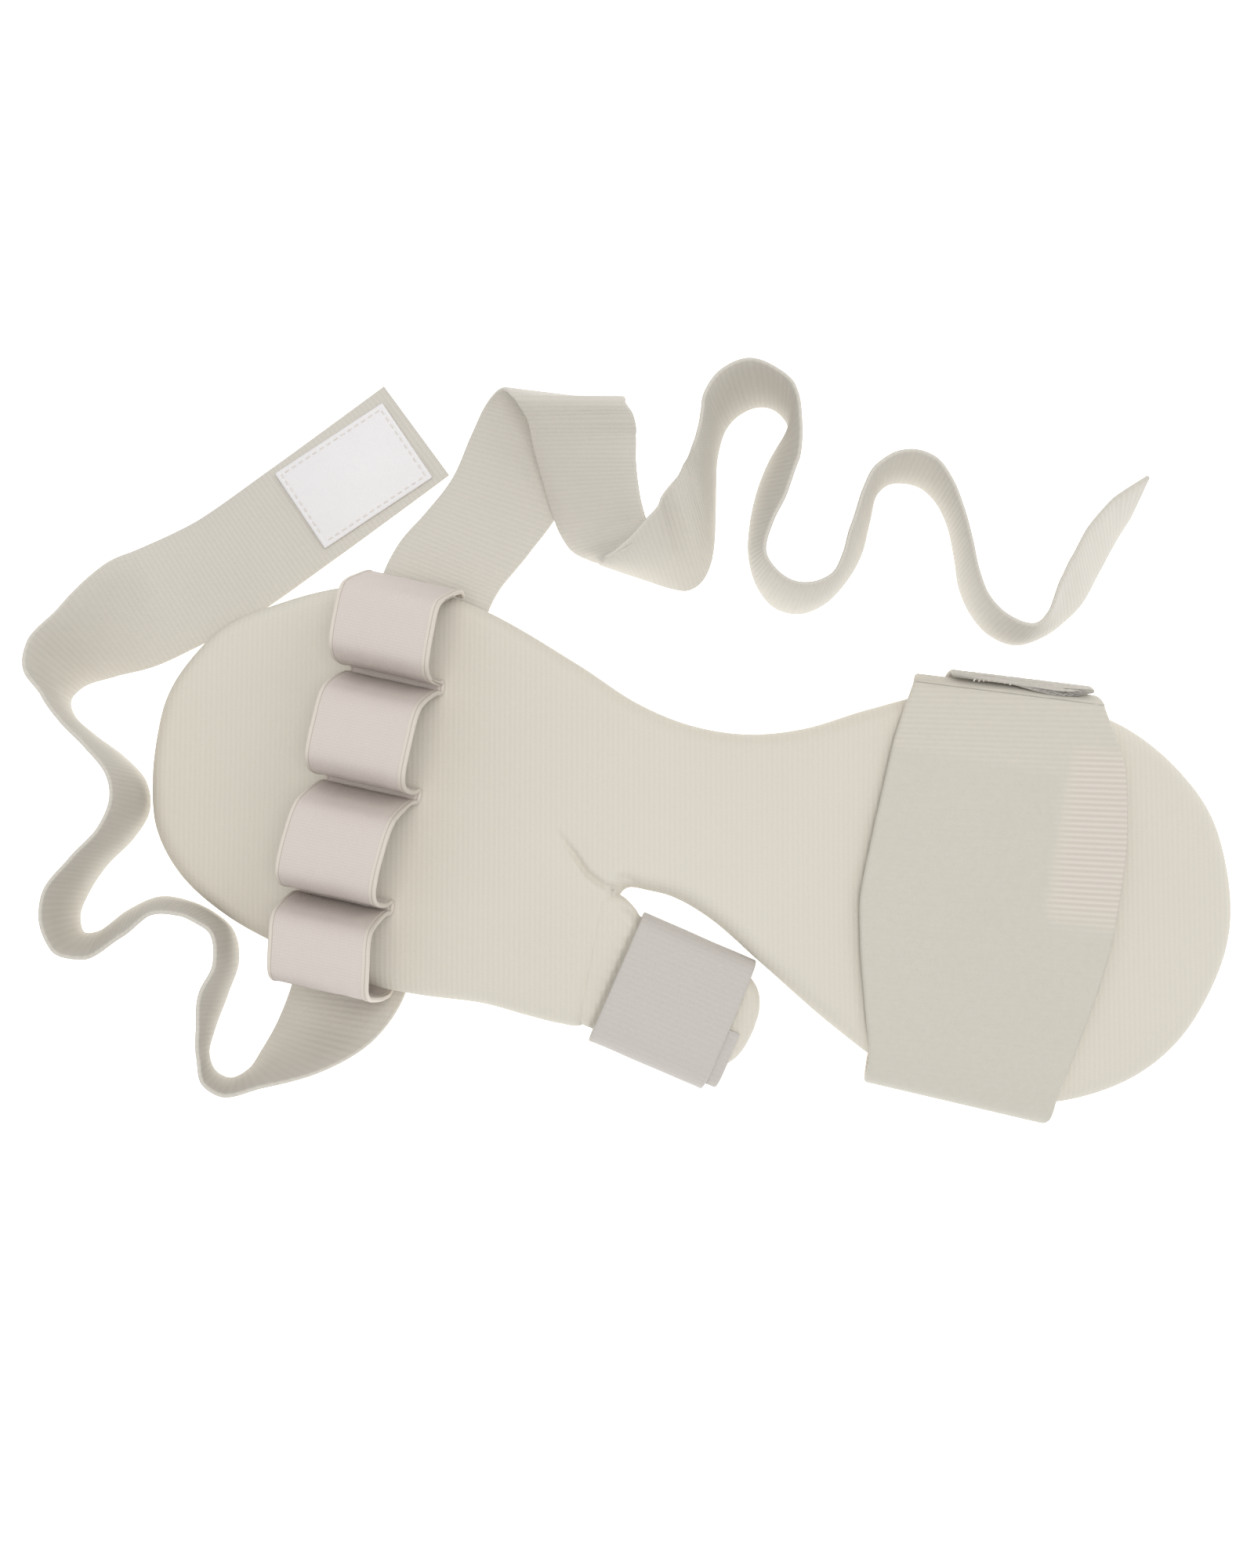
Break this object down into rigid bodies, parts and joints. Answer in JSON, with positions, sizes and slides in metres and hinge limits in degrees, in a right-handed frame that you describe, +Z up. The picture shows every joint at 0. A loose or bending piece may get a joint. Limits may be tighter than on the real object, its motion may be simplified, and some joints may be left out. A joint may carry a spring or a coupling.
{
  "type": "hand splint",
  "caption": "Padded resting hand splint, palm up, with finger loops, wrapped thumb and forearm straps and a long finger strap with hook patch.",
  "frame": {"origin": "middle of the whole object's footprint, on the surface it lies on", "axes": "+X along the board from the fingertips to the forearm, +Y to the little finger's side, +Z up out of the palm"},
  "size_m": [0.397, 0.2586, 0.0462],
  "materials": {
    "board_cover": "finely ribbed knit over foam",
    "loop_elastic": "soft elastic with rolled edges",
    "strap_webbing": "ribbed elastic webbing",
    "hook_tape": "hook tape with a stitched border",
    "thumb_knit": "smooth brushed knit",
    "strap_knit": "ribbed knit band",
    "strap_loop_tape": "brushed loop tape"
  },
  "bodies": {
    "root": {"padded_board": "board_cover", "finger_loop_band": "loop_elastic", "finger_strap_hook_end": "strap_webbing", "finger_strap_long_end": "strap_webbing", "hook_patch": "hook_tape", "thumb_strap": "thumb_knit", "forearm_strap": "strap_knit", "forearm_strap_end": "strap_loop_tape"}
  },
  "joints": []
}
